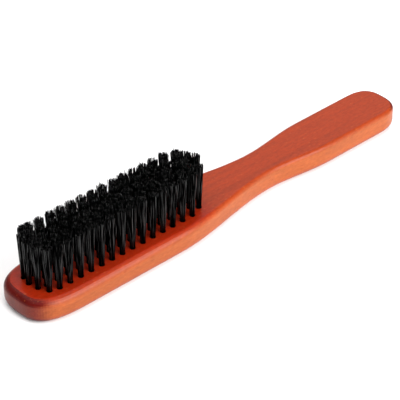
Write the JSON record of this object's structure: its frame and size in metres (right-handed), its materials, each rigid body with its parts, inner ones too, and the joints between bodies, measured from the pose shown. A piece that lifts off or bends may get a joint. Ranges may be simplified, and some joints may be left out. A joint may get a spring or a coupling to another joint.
{
  "type": "fade brush",
  "caption": "Hand brush with a lacquered wooden head, narrow waist and rounded grip, and rows of straight dark bristle tufts for brushing cut hair off the neck and blending a fade.",
  "frame": {"origin": "middle of the object's footprint, on the plane of its flat back; the brush lies on its back with the bristles up", "axes": "+X runs along the brush from the bristled head to the grip, +Z points out of the bristle face, +Y runs across the brush"},
  "size_m": [0.2286, 0.0352, 0.0352],
  "materials": {
    "wood": "satin stained lacquer",
    "bristle": "fine black bristle with a soft sheen",
    "anchor_wire": "plain drawn flat wire"
  },
  "bodies": {
    "root": {"wooden_body": "wood", "head_end_tufts": "bristle", "waist_end_tufts": "bristle", "tuft_rank_01": "bristle", "tuft_rank_02": "bristle", "tuft_rank_03": "bristle", "tuft_rank_04": "bristle", "tuft_rank_05": "bristle", "tuft_rank_06": "bristle", "tuft_rank_07": "bristle", "tuft_rank_08": "bristle", "tuft_rank_09": "bristle", "tuft_rank_10": "bristle", "tuft_rank_11": "bristle", "tuft_rank_12": "bristle", "tuft_rank_13": "bristle", "tuft_rank_14": "bristle", "tuft_rank_15": "bristle", "tuft_rank_16": "bristle", "tuft_rank_17": "bristle", "tuft_rank_18": "bristle", "tuft_rank_19": "bristle", "tuft_rank_20": "bristle", "tuft_rank_21": "bristle", "tuft_rank_22": "bristle", "tuft_rank_23": "bristle", "tuft_rank_24": "bristle", "tuft_rank_25": "bristle", "tuft_rank_26": "bristle", "tuft_rank_27": "bristle", "tuft_rank_28": "bristle", "tuft_rank_29": "bristle", "head_end_anchors": "anchor_wire", "waist_end_anchors": "anchor_wire", "anchors_near_edge_row": "anchor_wire", "anchors_near_inner_row": "anchor_wire", "anchors_middle_row": "anchor_wire", "anchors_far_inner_row": "anchor_wire", "anchors_far_edge_row": "anchor_wire"}
  },
  "joints": []
}
